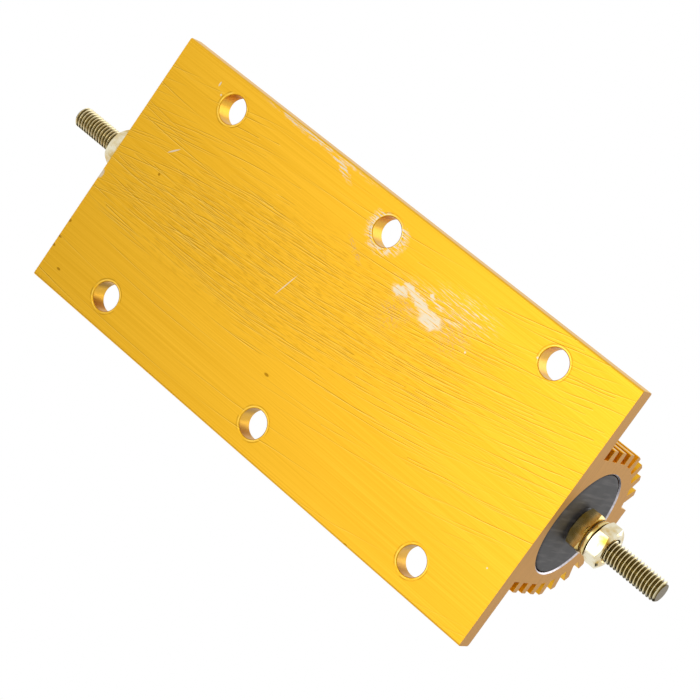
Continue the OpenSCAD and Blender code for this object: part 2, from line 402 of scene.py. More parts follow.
def strokes(tree, place, length, width, share, turn=0.0):
    """Short strokes where something has rubbed, in millimetres: covers about that share."""
    drawn = add(tree, "ShaderNodeMapping", {
        "Vector": place, "Rotation": (0.0, 0.0, math.radians(turn)),
        "Scale": (length * MM, width * MM, 1.0)}, vector_type="TEXTURE")
    grain = add(tree, NOISE, {"Vector": drawn, "Scale": 1.0, "Detail": 2.0, "Roughness": 0.6})
    level = 0.5 + 0.4 * (0.5 - share)
    return add(tree, RANGE, {"Value": grain, "From Min": level - 0.03, "From Max": level + 0.05})


def blended(tree, below, colour, mask, share=1.0):
    """A colour laid over what is below it, as far as the mask goes."""
    mixed = add(tree, MIX, {"Factor": part_of(tree, mask, share), "A": below,
                                        "B": rgba(colour)}, data_type="RGBA")
    return mixed.outputs["Result"]


def drawn_gold(tree, place):
    """Gold with the die's lines in it, and the lines as a mask."""
    s = look("housing")
    lines = die_lines(tree, place)
    base = add(tree, MIX, {"Factor": lines, "A": rgba(s.gold_deep),
                                       "B": rgba(s.gold)}, data_type="RGBA")
    return base.outputs["Result"], lines


def gold_anodised():
    """Extruded aluminium, etched and dyed gold: a satin metal with fine lines along its
    length where the die has drawn it."""
    s = look("housing")
    material, tree, shader, place = new_material("gold_anodised_extrusion")
    base, lines = drawn_gold(tree, place)
    relief = add(tree, "ShaderNodeBump", {"Height": lines, "Strength": 0.4,
                                          "Distance": 0.2 * s.relief})
    plug(tree, shader, {"Base Color": base, "Normal": relief, "Metallic": 1.0, "Roughness": 0.36})
    return material


def fine_scratches(tree, place):
    """Scratches of the mounting face: the cuts, a painted highlight along one side of each, and fuzz
    too fine to tell apart. Long arcs lie thick in a band across the middle and sparse beside it."""
    s = look("housing")
    band = spot(tree, place, (-12, -5), (56, 15), 0.45, -9)
    right = spot(tree, place, (50, -9), (36, 24), 0.5, -12)
    left = spot(tree, place, (-60, -10), (38, 17), 0.4, -8)
    flat = arcs(tree, place, -25, 0.044, 0.43)
    tilted = arcs(tree, place, -25, 0.10, 0.55)
    steep = arcs(tree, place, -75, 0.25, -0.42)
    cuts = burr_highlights = 0.0
    for (along, across), length, spacing, area, share, seed in (
            (flat, 1.0, 0.62, band, 0.62, 1), (tilted, 0.7, 0.71, band, 0.5, 2),
            (steep, 1.0, 0.6, left, 0.6, 3), (tilted, 1.1, 0.75, right, 0.55, 4),
            (flat, 1.9, 1.9, None, 0.28, 5)):
        dense = part_of(tree, area, share) if area else share
        cut, burr_highlight = scratches(tree, along, across, length * s.scratch_length, s.scratch_width,
                              spacing * MM, dense, seed)
        cuts = add(tree, MATH, {0: cut, 1: cuts}, operation="MAXIMUM")
        burr_highlights = add(tree, MATH, {0: burr_highlight, 1: burr_highlights}, operation="MAXIMUM")
    along, across = flat
    frayed = add(tree, COMBINE, {0: along, 1: across})
    fuzz = part_of(tree, strokes(tree, frayed, 4.0, 0.22, 0.38), band)
    return cuts, burr_highlights, fuzz


def rubbed_bare(tree, place):
    """Where the film of the mounting face is rubbed off: a patch of solid blobs among loose
    strokes, a ring round the middle hole of one row, scuffs along an edge, and nicks."""
    ragged = add(tree, NOISE, {"Vector": place, "Scale": 700.0, "Detail": 3.0})
    ragged = add(tree, VECTOR, {0: ragged.outputs["Color"], 1: (0.5, 0.5, 0.5)},
                 operation="SUBTRACT")
    nudged = add(tree, VECTOR, {0: ragged, 1: (2.2 * MM, 2.2 * MM, 0.0), 2: place},
                 operation="MULTIPLY_ADD")
    solid = most_of(tree, (spot(tree, nudged, *shape) for shape in (
        ((11.8, -19.3), (2.3, 1.2), 0.25), ((14.3, -21.1), (2.6, 0.9), 0.25, 8),
        ((18, -19.9), (4.0, 1.0), 0.3, 12), ((22.6, -18.2), (3.2, 2.0), 0.25, -10),
        ((19.6, -23), (0.8, 0.5), 0.3))))
    solid = part_of(tree, solid, strokes(tree, place, 6, 0.4, 0.75))
    loose = most_of(tree, (spot(tree, nudged, *shape) for shape in (
        ((21, -20.5), (10, 3.6), 0.6), ((27, -24), (9, 4), 0.6, -10))))
    loose = part_of(tree, loose, strokes(tree, place, 5, 0.28, 0.3))

    row = -HOLE_ROW / MM
    ring_shape = spot(tree, nudged, (0.3, row), (5.8, 5.3), 0.2)
    for shape in (((0, row), (3.9, 3.9), 0.02), ((1.5, row - 6.8), (8, 3.6), 0.3)):
        ring_shape = add(tree, MATH, {0: ring_shape, 1: spot(tree, place, *shape)},
                         operation="SUBTRACT", use_clamp=True)
    ring_shape = part_of(tree, ring_shape, strokes(tree, place, 2.6, 0.4, 0.5))

    edge = most_of(tree, (spot(tree, nudged, *shape) for shape in (
        ((-29, -36.0), (16, 1.0), 0.5), ((-21, -34.8), (5.5, 0.9), 0.3, 27))))
    edge = part_of(tree, edge, strokes(tree, place, 5, 0.4, 0.55))
    nicks = most_of(tree, (spot(tree, place, *shape) for shape in (
        ((-61.2, -11.2), (1.7, 0.2), 0.3, -45), ((-61, -31.5), (0.22, 0.6), 0.4),
        ((-59, -29.5), (0.25, 0.25), 0.4), ((-14, -3), (0.12, 3.2), 0.4, 17),
        ((-75.3, 5), (0.7, 1.2), 0.3), ((50, -27.2), (0.3, 0.25), 0.4),
        ((34.5, -17.6), (0.25, 0.25), 0.4), ((70, 18), (0.2, 0.2), 0.4))))
    return most_of(tree, [solid, loose, ring_shape, edge, nicks])


def smeared(tree, place):
    """Dull smears and scribbles beside the rubbed patch."""
    areas = most_of(tree, (spot(tree, place, *shape) for shape in (
        ((14, -15), (5, 3.6), 0.5, -60), ((29, -19.5), (5, 5), 0.5), ((-4, -20), (4, 0.8), 0.4, 32))))
    crossed = most_of(tree, [strokes(tree, place, 2.2, 0.3, 0.3, 25),
                             strokes(tree, place, 1.6, 0.3, 0.25, -60)])
    return part_of(tree, areas, crossed)


def hole_rims(tree, place):
    """Round every mounting hole, a painted highlight on the edge that the drill has raised, and a
    ring of painted shade round it, each where it is thickest."""
    parts = add(tree, "ShaderNodeSeparateXYZ", {0: place})
    column = add(tree, MATH, {0: parts.outputs[0], 1: HOLE_PITCH}, operation="DIVIDE")
    column = add(tree, MATH, {0: column}, operation="ROUND")
    x = add(tree, MATH, {0: column, 1: -HOLE_PITCH, 2: parts.outputs[0]}, operation="MULTIPLY_ADD")
    y = add(tree, MATH, {0: parts.outputs[1]}, operation="ABSOLUTE")
    y = add(tree, MATH, {0: y, 1: HOLE_ROW}, operation="SUBTRACT")
    off = add(tree, COMBINE, {0: x, 1: y})
    away = add(tree, VECTOR, {0: off}, operation="LENGTH")
    patchy = add(tree, NOISE, {"Vector": place, "Scale": 260.0, "Detail": 2.0})
    patchy = add(tree, RANGE, {"Value": patchy, "From Min": 0.4, "From Max": 0.55})
    rims = []
    # The first ring is a painted highlight, the second a ring of painted shade
    for middle, half in ((4.15, 0.22), (4.55, 0.2)):
        near = add(tree, MATH, {0: away, 1: middle * MM}, operation="SUBTRACT")
        near = add(tree, MATH, {0: near}, operation="ABSOLUTE")
        near = add(tree, RANGE, {"Value": near, "From Min": half * MM, "From Max": 0.3 * half * MM})
        rims.append(part_of(tree, near, patchy))
    return rims


def worn_gold():
    """The mounting face: the same satin gold, dragged over benches and chassis, so that long
    arcs are scratched dark into it, and rubbed to bare metal in a patch and round one hole."""
    s = look("housing")
    material, tree, shader, place = new_material("gold_anodised_mounting_face")
    base, lines = drawn_gold(tree, place)
    cut, burr_highlight, fuzz = fine_scratches(tree, place)
    rubbed = rubbed_bare(tree, place)
    lip_highlight, rim_shade = hole_rims(tree, place)
    # Small dark spots in the colour of the scratches
    dark_spots = most_of(tree, (spot(tree, place, *shape) for shape in (
        ((-4.5, 17), (0.7, 0.35), 0.4), ((-61, -4.2), (0.35, 0.35), 0.4),
        ((38, 36), (0.6, 0.35), 0.3), ((-70, 31), (0.6, 0.3), 0.3), ((-75.2, 19.5), (0.5, 0.4), 0.4),
        ((-75.2, 24.3), (0.7, 0.3), 0.4), ((-75.2, 27), (0.5, 0.3), 0.4))))
    base = blended(tree, base, s.scratch_and_rim_shade, fuzz, 0.3)
    base = blended(tree, base, s.scratch_and_rim_shade, most_of(tree, [cut, dark_spots]), 0.8)
    # Painted highlight along one side of the scratches
    base = blended(tree, base, s.burr_highlight, burr_highlight, 0.6)
    # Painted shade round the holes, in the colour of the scratches, and a painted highlight on their
    # raised edges
    base = blended(tree, base, s.scratch_and_rim_shade, rim_shade, 0.5)
    base = blended(tree, base, s.burr_highlight, lip_highlight, 0.7)
    base = blended(tree, base, s.smear, smeared(tree, place), 0.55)
    base = blended(tree, base, s.bare, rubbed, 0.85)
    height = add(tree, MATH, {0: cut, 1: -1.0}, operation="MULTIPLY")
    for mask, share in ((lines, 0.2), (burr_highlight, 0.6), (rubbed, -0.5), (lip_highlight, 1.0)):
        height = add(tree, MATH, {0: mask, 1: share, 2: height}, operation="MULTIPLY_ADD")
    relief = add(tree, "ShaderNodeBump", {"Height": height, "Strength": 0.6,
                                          "Distance": s.relief})
    plug(tree, shader, {"Base Color": base, "Normal": relief, "Metallic": 1.0, "Roughness": 0.38})
    return material


def sawn_gold():
    """Sawn off and dyed with the rest: a dull, fine grained face with faint straight marks from
    the blade."""
    s = look("housing")
    material, tree, shader, place = new_material("sawn_anodised_end")
    blade = add(tree, "ShaderNodeMapping", {"Vector": place, "Rotation": (0.35, 0.0, 0.0),
                                            "Scale": (0.0, 60.0, 2500.0)})
    marks = add(tree, NOISE, {"Vector": blade, "Scale": 1.0, "Detail": 3.0, "Roughness": 0.7})
    tone = add(tree, RANGE, {"Value": marks, "From Min": 0.25, "From Max": 0.75,
                             "To Min": 0.88, "To Max": 1.1})
    base = add(tree, MIX, {"Factor": 1.0, "A": rgba(s.sawn), "B": tone},
               data_type="RGBA", blend_type="MULTIPLY")
    plug(tree, shader, {"Base Color": base, "Metallic": 0.7, "Roughness": 0.55})
    return material


def turned_edge():
    """Bare aluminium where the mouth of the bore was chamfered after anodising: bright and
    nearly white, with a fine uneven grain."""
    s = look("housing")
    material, tree, shader, place = new_material("turned_bare_aluminium")
    grain = add(tree, NOISE, {"Vector": place, "Scale": 900.0, "Detail": 2.0})
    tone = add(tree, RANGE, {"Value": grain, "From Min": 0.35, "From Max": 0.65,
                             "To Min": 0.72, "To Max": 1.0})
    base = add(tree, MIX, {"Factor": 1.0, "A": rgba(s.turned), "B": tone},
               data_type="RGBA", blend_type="MULTIPLY")
    plug(tree, shader, {"Base Color": base, "Metallic": 1.0, "Roughness": 0.35})
    return material


class ResistorHousing(bpy.types.Operator):
    """Gives the extruded housing its broken edges, gold finish and wear"""
    bl_idname = "resistor.housing"
    bl_label = "Housing"

    def execute(self, context):
        s = look("housing")
        bm = merged_copy("housing")
        break_edges(bm, s.edge_round)
        for face in bm.faces:
            face.material_index = self.finish_of(face)
        piece = new_piece("finned_housing", finish_mesh(bm, "finned_housing"),
                          (gold_anodised(), worn_gold(), sawn_gold(), turned_edge()))
        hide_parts("housing")
        return {"FINISHED"}

    def finish_of(self, face):
        """Extruded, worn mounting face, sawn end or turned edge of the bore: 0 to 3."""
        middle = face.calc_center_median()
        to_end = BODY_END - abs(middle.x)
        if to_end < 0.1 * MM and abs(face.normal.x) > 0.9:
            return 2
        if to_end < 0.5 * MM and from_axis(middle) < BORE_R + 0.5 * MM:
            return 3
        if middle.z < 0.1 * MM and face.normal.z < -0.9:
            return 1
        return 0


# --- Studs ---

def thread_tree():
    """Geometry Nodes tree of one threaded bar along the bore axis."""
    tree = bpy.data.node_groups.new("threaded_bar", "GeometryNodeTree")
    face = tree.interface
    for name, kind in (("Start", "Float"), ("Length", "Float"), ("Radius", "Float"),
                       ("Depth", "Float"), ("Pitch", "Float"), ("Chamfer", "Float"),
                       ("Axis height", "Float"), ("Turn", "Float"), ("Steps", "Int"),
                       ("Sides", "Int"), ("Material", "Material")):
        face.new_socket(name, in_out="INPUT", socket_type="NodeSocket" + kind)
    face.new_socket("Geometry", in_out="OUTPUT", socket_type="NodeSocketGeometry")
    given = add(tree, "NodeGroupInput").outputs

    rows = add(tree, MATH, {0: given["Length"], 1: given["Pitch"]}, operation="DIVIDE")
    rows = add(tree, MATH, {0: rows, 1: given["Steps"], 2: 1.0},
               operation="MULTIPLY_ADD")
    columns = add(tree, MATH, {0: given["Sides"], 1: 1.0}, operation="ADD")
    grid = add(tree, "GeometryNodeMeshGrid", {"Size X": 1.0, "Size Y": 1.0,
                                              "Vertices X": rows,
                                              "Vertices Y": columns})
    place = add(tree, "ShaderNodeSeparateXYZ", {0: add(tree, "GeometryNodeInputPosition")})
    share_x = add(tree, MATH, {0: place.outputs[0], 1: 0.5}, operation="ADD").outputs[0]
    share_y = add(tree, MATH, {0: place.outputs[1], 1: 0.5}, operation="ADD").outputs[0]
    along = add(tree, MATH, {0: share_x, 1: given["Length"]}, operation="MULTIPLY")
    turns = add(tree, MATH, {0: along, 1: given["Pitch"]}, operation="DIVIDE")
    phase = add(tree, MATH, {0: turns, 1: share_y}, operation="SUBTRACT")
    wave = add(tree, MATH, {0: phase, 1: 1.0}, operation="FRACT")
    wave = add(tree, MATH, {0: wave, 1: 2.0, 2: -1.0}, operation="MULTIPLY_ADD")
    wave = add(tree, MATH, {0: wave}, operation="ABSOLUTE")
    # The crest is flat over an eighth of the pitch and the root over a quarter
    ridge = add(tree, RANGE, {"Value": wave, "From Min": 0.25, "From Max": 0.875,
                                             "To Min": 0.0, "To Max": 1.0})
    cut = add(tree, MATH, {0: 1.0, 1: ridge}, operation="SUBTRACT")
    cut = add(tree, MATH, {0: cut, 1: given["Depth"]}, operation="MULTIPLY")
    radius = add(tree, MATH, {0: given["Radius"], 1: cut}, operation="SUBTRACT")
    # A cone at each end limits the radius
    end_r = add(tree, MATH, {0: given["Radius"], 1: given["Chamfer"]}, operation="SUBTRACT")
    left = add(tree, MATH, {0: given["Length"], 1: along}, operation="SUBTRACT")
    near = add(tree, MATH, {0: left, 1: along}, operation="MINIMUM")
    cone = add(tree, MATH, {0: end_r, 1: near}, operation="ADD")
    radius = add(tree, MATH, {0: radius, 1: cone}, operation="MINIMUM")
    angle = add(tree, MATH, {0: share_y, 1: 2 * math.pi}, operation="MULTIPLY")
    cosine = add(tree, MATH, {0: angle}, operation="COSINE")
    sine = add(tree, MATH, {0: angle}, operation="SINE")
    x = add(tree, MATH, {0: along, 1: given["Start"]}, operation="ADD")
    y = add(tree, MATH, {0: radius, 1: cosine}, operation="MULTIPLY")
    z = add(tree, MATH, {0: radius, 1: sine}, operation="MULTIPLY")
    wrapped = add(tree, COMBINE, {0: x, 1: y, 2: z})
    bar = add(tree, "GeometryNodeSetPosition", {"Geometry": grid,
                                                "Position": wrapped})
    joined = add(tree, "GeometryNodeJoinGeometry", {0: bar})
    quarter = math.pi / 2
    stop = add(tree, MATH, {0: given["Start"], 1: given["Length"]}, operation="ADD")
    for end in (given["Start"], stop):
        disc = add(tree, "GeometryNodeMeshCircle", {"Vertices": given["Sides"],
                                                    "Radius": end_r}, fill_type="NGON")
        end_at = add(tree, COMBINE, {0: end})
        disc = add(tree, TRANSFORM, {"Geometry": disc,
                                                   "Translation": end_at,
                                                   "Rotation": (quarter, 0.0, quarter)})
        tree.links.new(disc.outputs[0], joined.inputs[0])
    merged = add(tree, "GeometryNodeMergeByDistance", {"Geometry": joined,
                                                       "Distance": 0.002 * MM})
    turned = add(tree, COMBINE, {2: given["Turn"]})
    lifted = add(tree, COMBINE, {2: given["Axis height"]})
    moved = add(tree, TRANSFORM, {"Geometry": merged,
                                                "Translation": lifted,
                                                "Rotation": turned})
    real = add(tree, "GeometryNodeRealizeInstances", {"Geometry": moved})
    painted = add(tree, "GeometryNodeSetMaterial", {"Geometry": real,
                                                    "Material": given["Material"]})
    add(tree, "NodeGroupOutput", {"Geometry": painted})
    return tree


def grown(tree, values, name):
    """The plain mesh that a Geometry Nodes tree makes with those inputs."""
    holder = bpy.data.objects.new(name, bpy.data.meshes.new(name))
    bpy.context.scene.collection.objects.link(holder)
    modifier = holder.modifiers.new("nodes", "NODES")
    modifier.node_group = tree
    for item in tree.interface.items_tree:
        if item.item_type == "SOCKET" and item.in_out == "INPUT":
            modifier[item.identifier] = values[item.name]
    holder.update_tag()
    graph = bpy.context.evaluated_depsgraph_get()
    mesh = bpy.data.meshes.new_from_object(holder.evaluated_get(graph))
    bpy.data.objects.remove(holder)
    return mesh


def zinc(name, colour):
    """Steel, zinc plated and passivated: a bright mirror-like metal under a thin yellow film
    that is thicker in patches."""
    s = look("hardware")
    material, tree, shader, place = new_material(name)
    patches = add(tree, NOISE, {"Vector": place, "Scale": 260.0, "Detail": 3.0})
    film = add(tree, RANGE, {"Value": patches, "From Min": 0.42,
                                            "From Max": 0.68})
    tint = add(tree, MIX, {"Factor": film, "A": rgba(colour),
                                       "B": rgba(s.zinc_tint)}, data_type="RGBA")
    plug(tree, shader, {"Base Color": tint, "Metallic": 1.0, "Roughness": 0.18})
    return material


def plated_thread():
    """The same zinc on a rolled thread: pale on the crests, with painted shade darkening the roots.
    """
    s = look("hardware")
    material, tree, shader, place = new_material("yellow_zinc_plate_on_thread")
    off = add(tree, VECTOR, {0: place, 1: (0.0, 0.0, BORE_Z)}, operation="SUBTRACT")
    off = add(tree, VECTOR, {0: off, 1: (0.0, 1.0, 1.0)}, operation="MULTIPLY")
    away = add(tree, VECTOR, {0: off}, operation="LENGTH")
    # Painted shade, deepest in the roots of the thread and gone on the crests
    crest = add(tree, RANGE, {"Value": away, "From Min": STUD_R - s.depth,
                              "From Max": STUD_R - s.thread_gap - 0.1 * s.depth})
    patches = add(tree, NOISE, {"Vector": place, "Scale": 300.0, "Detail": 3.0})
    bright = add(tree, MIX, {"Factor": patches, "A": rgba(s.pale_zinc),
                                         "B": rgba(s.yellow_zinc)}, data_type="RGBA")
    tint = add(tree, MIX, {"Factor": crest, "A": rgba(s.thread_shade),
                                       "B": bright}, data_type="RGBA")
    plug(tree, shader, {"Base Color": tint, "Metallic": 1.0, "Roughness": 0.22})
    return material


class ResistorStuds(bpy.types.Operator):
    """Cuts the threads of both terminal studs"""
    bl_idname = "resistor.studs"
    bl_label = "Terminal studs"

    def execute(self, context):
        s = look("hardware")
        tree = thread_tree()
        material = plated_thread()
        low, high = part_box("terminal_stud_right")
        cap_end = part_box("end_cap_right")[1].x
        shoulder_end = cap_end + s.shoulder
        shoulder_r = high.y
        low_x = low.x
        spigot_r = STUD_R - 0.5 * MM
        overlap = 0.2 * MM
        for side in SIDES:
            start = shoulder_end - overlap
            thread = grown(tree, {
                "Start": start, "Length": high.x - start, "Radius": STUD_R - s.thread_gap,
                "Depth": s.depth, "Pitch": s.pitch, "Chamfer": s.tip_chamfer,
                "Axis height": BORE_Z, "Turn": 0.0 if side == "right" else math.pi,
                "Steps": s.turn_steps, "Sides": s.around, "Material": material}, "thread")
            bm = bmesh.new()
            bm.from_mesh(thread)
            turned = [ring(bm, x, [r] * s.around) for x, r in (
                (low_x, spigot_r), (cap_end, spigot_r), (cap_end, shoulder_r),
                (shoulder_end, shoulder_r))]
            bm.faces.new(turned[0])
            bm.faces.new(turned[-1])
            skin(bm, turned)
            if side == "left":
                turned_verts = [vert for made in turned for vert in made]
                bmesh.ops.rotate(bm, verts=turned_verts, cent=(0, 0, 0),
                                 matrix=Matrix.Rotation(math.pi, 3, "Z"))
            mesh = finish_mesh(bm, "threaded_stud_" + side, smooth_below=70)
            piece = new_piece("threaded_stud_" + side, mesh, (material,))
            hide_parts("terminal_stud_" + side)
        return {"FINISHED"}


# --- Nuts and washers ---

def nut_mesh(node, name, bore_r):
    """A hexagon nut in the place of a CAD nut, with rounded edges and a countersunk thread."""
    s = look("hardware")
    low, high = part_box(node)
    corner_r, turn, face_r = nut_sizes(node)
    flat_r = corner_r * math.cos(math.pi / 6)
    per_side = 16
    slope = math.tan(math.pi / 6)
    sink = 0.35 * MM
    blunt_corner_r = 0.99 * corner_r
    outline = []
    for i in range(6 * per_side):
        across = math.radians((i * 60 / per_side) % 60 - 30)
        outline.append(min(flat_r / math.cos(across), blunt_corner_r))
    drops = [(r - face_r) * slope for r in outline]
    bm = bmesh.new()
    count = len(outline)

    def band(x_end, inward):
        """Rings from the bore out to the flats at one end; inward is +1 or -1 along x."""
        made = [ring(bm, x_end + inward * sink, [bore_r] * count, turn),
                ring(bm, x_end, [bore_r + sink] * count, turn),
                ring(bm, x_end, [face_r - s.nut_round] * count, turn),
                ring(bm, x_end + inward * 0.3 * s.nut_round, [face_r] * count, turn)]
        for share, lift in ((1.0, 0.0), (1.0, 1.0)):
            verts = ring(bm, x_end, outline, turn)
            for vert, drop, r in zip(verts, drops, outline):
                vert.co.x += inward * (drop + (0.4 + lift) * s.nut_round)
            made.append(verts)
        return made

    skin(bm, band(low.x, 1) + band(high.x, -1)[::-1], closed=True)
    return finish_mesh(bm, name, smooth_below=20)


class ResistorNuts(bpy.types.Operator):
    """Makes the inner and outer nuts on both studs"""
    bl_idname = "resistor.nuts"
    bl_label = "Nuts"

    def execute(self, context):
        s = look("hardware")
        finishes = {"inner": (zinc("yellow_zinc_plate_on_nut", s.yellow_zinc),
                              "yellow_zinc_steel"),
                    "outer": (zinc("pale_zinc_plate_on_nut", s.pale_zinc), "pale_zinc_steel")}
        for place, (material, slot) in finishes.items():
            for side in SIDES:
                node = place + "_nut_" + side
                mesh = nut_mesh(node, "hex_" + node, STUD_R)
                piece = new_piece("hex_" + node, mesh, (material,))
                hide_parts(node)
        return {"FINISHED"}


class ResistorWashers(bpy.types.Operator):
    """Makes the split spring washers"""
    bl_idname = "resistor.washers"
    bl_label = "Spring washers"

    def execute(self, context):
        s = look("hardware")
        material = zinc("yellow_zinc_plate_on_washer", s.yellow_zinc)
        for side in SIDES:
            bm = merged_copy("spring_washer_" + side)
            break_edges(bm, s.nut_round)
            mesh = finish_mesh(bm, "split_washer_" + side)
            piece = new_piece("split_washer_" + side, mesh, (material,))
            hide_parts("spring_washer_" + side)
        return {"FINISHED"}


# --- Seals ---

def sealing_compound():
    """Poured silicone compound, cured matt dark grey, with lighter wiping marks."""
    s = look("seal")
    material, tree, shader, place = new_material("cured_sealing_compound")
    stretched = add(tree, "ShaderNodeMapping", {"Vector": place, "Rotation": (0.5, 0.0, 0.0),
                                                "Scale": (400.0, 900.0, 90.0)})
    marks = add(tree, NOISE, {"Vector": stretched, "Scale": 1.0,
                                             "Detail": 4.0})
    light = add(tree, RANGE, {"Value": marks, "From Min": 0.5,
                                             "From Max": 0.75})
    tone = add(tree, MIX, {"Factor": light, "A": rgba(s.compound),
                                       "B": rgba(s.marks)}, data_type="RGBA")
    plug(tree, shader, {"Base Color": tone, "Roughness": 0.55})
    return material


def seal_mesh(side):
    """A poured seal: waves over its face, a ragged rim, and a boss under the nut."""
    s = look("seal")
    sign = 1 if side == "right" else -1
    count, rows = 160, 14
    step = 2 * math.pi / count
    boss_x = SEAL_HIGH.x
    bm = bmesh.new()

    def wave(y, z, size, seed):
        return noise.noise(Vector((y / size, z / size, seed + sign)))

    rim = []
    for i in range(count):
        y, z = math.cos(i * step), math.sin(i * step)
        top = 0.5 + 0.5 * (0.9 * z + 0.4 * y)
        ragged = 0.5 + 0.5 * wave(y, z, 0.11, 3.0)
        rim.append(SEAL_R - s.rim_gap * (0.12 + 0.88 * top * top * ragged))
    hole = STUD_R + 0.03 * MM
    rings = [ring(bm, SEAL_LOW.x, [hole] * count), ring(bm, boss_x, [hole] * count),
             ring(bm, boss_x, [s.boss_r - 0.2 * MM] * count),
             ring(bm, boss_x - 0.2 * MM, [s.boss_r] * count),
             ring(bm, BODY_END + 0.1 * MM, [s.boss_r + 0.1 * MM] * count)]
    foot = s.boss_r + 0.4 * MM
    for row in range(rows):
        share = row / (rows - 1)
        radii = [foot + (edge - 0.5 * MM - foot) * share for edge in rim]
        verts = ring(bm, BODY_END - 0.1 * MM, radii)
        for vert in verts:
            vert.co.x += s.unevenness * wave(vert.co.y, vert.co.z, 5 * MM, 7.0)
        rings.append(verts)
    rings.append(ring(bm, BODY_END - 0.25 * MM, [edge - 0.15 * MM for edge in rim]))
    rings.append(ring(bm, BODY_END - 0.7 * MM, rim))
    rings.append(ring(bm, BODY_END - 2 * MM, rim))
    rings.append(ring(bm, BODY_END - 3 * MM, [SEAL_R] * count))
    rings.append(ring(bm, SEAL_LOW.x, [SEAL_R] * count))
    skin(bm, rings, closed=True)
    if sign < 0:
        bmesh.ops.rotate(bm, verts=bm.verts, cent=(0, 0, 0), matrix=Matrix.Rotation(math.pi, 3, "Z"))
    return finish_mesh(bm, "poured_seal_" + side)


class ResistorSeals(bpy.types.Operator):
    """Pours the sealing compound at both ends"""
    bl_idname = "resistor.seals"
    bl_label = "End seals"

    def execute(self, context):
        material = sealing_compound()
        for side in SIDES:
            piece = new_piece("poured_seal_" + side, seal_mesh(side), (material,))
            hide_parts("end_seal_" + side)
        return {"FINISHED"}


# --- Resistance element ---

def fired_ceramic():
    """Extruded and fired steatite: white and matt, with a faint grain."""
    s = look("element")
    material, tree, shader, place = new_material("fired_steatite_ceramic")
    grain = add(tree, NOISE, {"Vector": place, "Scale": 1800.0, "Detail": 3.0})
    tone = add(tree, MIX, {"Factor": grain, "A": rgba(s.ceramic),
                                       "B": rgba(s.ceramic_shade)}, data_type="RGBA")
    relief = add(tree, "ShaderNodeBump", {"Height": grain, "Strength": 0.3,
                                          "Distance": 0.02 * MM})
    plug(tree, shader, {"Base Color": tone, "Normal": relief, "Roughness": 0.6})
    return material


def cast_cement():
    """Silicone cement cast round the element: sandy, with dark grains and small pores."""
    s = look("element")
    material, tree, shader, place = new_material("cast_silicone_cement")
    sand = add(tree, NOISE, {"Vector": place, "Scale": 1400.0, "Detail": 4.0, "Roughness": 0.7})
    grains = add(tree, RANGE, {"Value": sand, "From Min": 0.35, "From Max": 0.65})
    tone = add(tree, MIX, {"Factor": grains, "A": rgba(s.cement_shade),
                                       "B": rgba(s.cement)}, data_type="RGBA")
    relief = add(tree, "ShaderNodeBump", {"Height": grains, "Strength": 0.6,
                                          "Distance": 0.08 * MM})
    plug(tree, shader, {"Base Color": tone, "Normal": relief, "Roughness": 0.85})
    return material


def plain_metal(name, colour, shade, roughness, scale):
    """A bare metal part of the element, a little uneven in tone from drawing or pressing."""
    material, tree, shader, place = new_material(name)
    cloud = add(tree, NOISE, {"Vector": place, "Scale": scale, "Detail": 2.0})
    tone = add(tree, MIX, {"Factor": cloud, "A": rgba(colour), "B": rgba(shade)},
               data_type="RGBA")
    plug(tree, shader, {"Base Color": tone, "Metallic": 1.0, "Roughness": roughness})
    return material


def winding_tree():
    """Geometry Nodes tree of one wire wound round the bore axis."""
    tree = bpy.data.node_groups.new("wound_wire", "GeometryNodeTree")
    face = tree.interface
    for name, kind in (("Start", "Float"), ("Length", "Float"), ("Core radius", "Float"),
                       ("Wire radius", "Float"), ("Pitch", "Float"), ("Axis height", "Float"),
                       ("Steps", "Int"), ("Material", "Material")):
        face.new_socket(name, in_out="INPUT", socket_type="NodeSocket" + kind)
    face.new_socket("Geometry", in_out="OUTPUT", socket_type="NodeSocketGeometry")
    given = add(tree, "NodeGroupInput").outputs
    turns = add(tree, MATH, {0: given["Length"], 1: given["Pitch"]}, operation="DIVIDE")
    radius = add(tree, MATH, {0: given["Core radius"], 1: given["Wire radius"]}, operation="ADD")
    path = add(tree, "GeometryNodeCurveSpiral", {
        "Resolution": given["Steps"], "Rotations": turns, "Start Radius": radius,
        "End Radius": radius, "Height": given["Length"]})
    spot_at = add(tree, COMBINE, {0: given["Start"], 2: given["Axis height"]})
    laid = add(tree, TRANSFORM, {"Geometry": path, "Translation": spot_at,
                                               "Rotation": (0.0, math.pi / 2, 0.0)})
    section = add(tree, "GeometryNodeCurvePrimitiveCircle", {"Resolution": 8,
                                                             "Radius": given["Wire radius"]})
    wire = add(tree, "GeometryNodeCurveToMesh", {"Curve": laid, "Profile Curve": section,
                                                 "Fill Caps": True})
    real = add(tree, "GeometryNodeRealizeInstances", {"Geometry": wire})
    painted = add(tree, "GeometryNodeSetMaterial", {"Geometry": real,
                                                    "Material": given["Material"]})
    add(tree, "NodeGroupOutput", {"Geometry": painted})
    return tree


